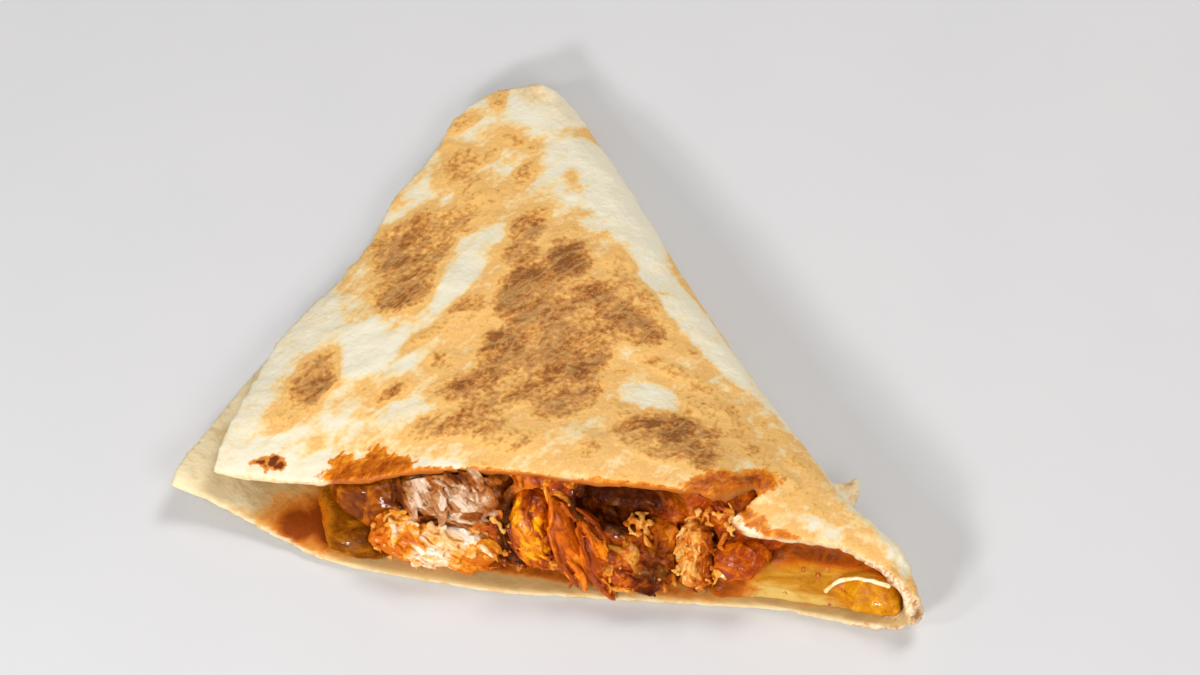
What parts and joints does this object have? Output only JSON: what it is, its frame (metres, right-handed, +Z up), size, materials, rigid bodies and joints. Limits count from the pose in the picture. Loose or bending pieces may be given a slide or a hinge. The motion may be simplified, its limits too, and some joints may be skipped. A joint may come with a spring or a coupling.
{
  "type": "quesadilla wedge",
  "caption": "Wedge of a toasted folded flour tortilla, cut open to show melted cheese, chicken and red sauce.",
  "frame": {"origin": "on the flat underside, near the middle of the wedge", "axes": "+X along the knife cut towards the fold's corner, +Y from the cut towards the far tip, +Z up from the surface it lies on"},
  "size_m": [0.151, 0.1196, 0.0252],
  "materials": {
    "toasted_tortilla": "matte, browned in patches",
    "melted_cheese": "satin, waxy",
    "red_sauce": "wet gloss",
    "cooked_chicken": "fibrous, glazed with sauce"
  },
  "bodies": {
    "root": {"tortilla": "toasted_tortilla", "cheese": "melted_cheese", "sauce": "red_sauce", "chicken_flaked": "cooked_chicken", "chicken_chunk": "cooked_chicken", "chicken_nugget": "cooked_chicken", "chicken_strip_1": "cooked_chicken", "chicken_strip_2": "cooked_chicken", "chicken_shred": "cooked_chicken"}
  },
  "joints": []
}
